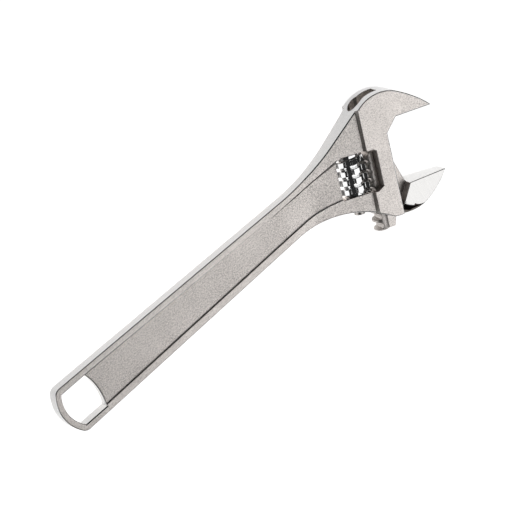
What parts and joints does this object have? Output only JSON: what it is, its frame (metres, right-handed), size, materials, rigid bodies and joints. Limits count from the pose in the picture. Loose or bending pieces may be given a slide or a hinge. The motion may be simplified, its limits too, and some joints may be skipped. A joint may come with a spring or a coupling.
{
  "type": "adjustable wrench",
  "caption": "Adjustable wrench with an angled head, a sliding lower jaw moved by a knurled screw in a window, a sunk-panel handle and a hanging hole.",
  "frame": {"origin": "under the middle of the bounding box, on the plane the head rests on", "axes": "+X along the handle from the hanging hole to the jaws, +Z normal to the flat faces, +Y across the handle towards the fixed jaw's crown"},
  "size_m": [0.2032, 0.053, 0.0146],
  "materials": {
    "satin_steel": "satin chrome over a blasted forging, with polished rims",
    "polished_jaw": "polished chrome jaw block, satin rack rod and web",
    "polished_knurl": "polished chrome",
    "pin_steel": "turned steel",
    "spring_steel": "drawn wire"
  },
  "bodies": {
    "body": {"body": "satin_steel", "knurl_pin": "pin_steel", "knurl_spring": "spring_steel"},
    "movable_jaw": {"movable_jaw": "polished_jaw"},
    "knurl": {"knurl": "polished_knurl"}
  },
  "joints": [
    {"name": "jaw_slide", "type": "slide", "parent": "body", "child": "movable_jaw", "axis": [0.3827, 0.9239, 0], "range_m": [-0.0003, 0.0283]},
    {"name": "knurl_spin", "type": "hinge", "parent": "body", "child": "knurl", "pos_m": [0.05773, 0.00294, 0.0073], "axis": [0.3827, 0.9239, 0], "range_deg": [-2625, 32]}
  ],
  "couplings": [
    {"joint": "knurl_spin", "follows": "jaw_slide", "rad_per_m": -1611.1}
  ]
}
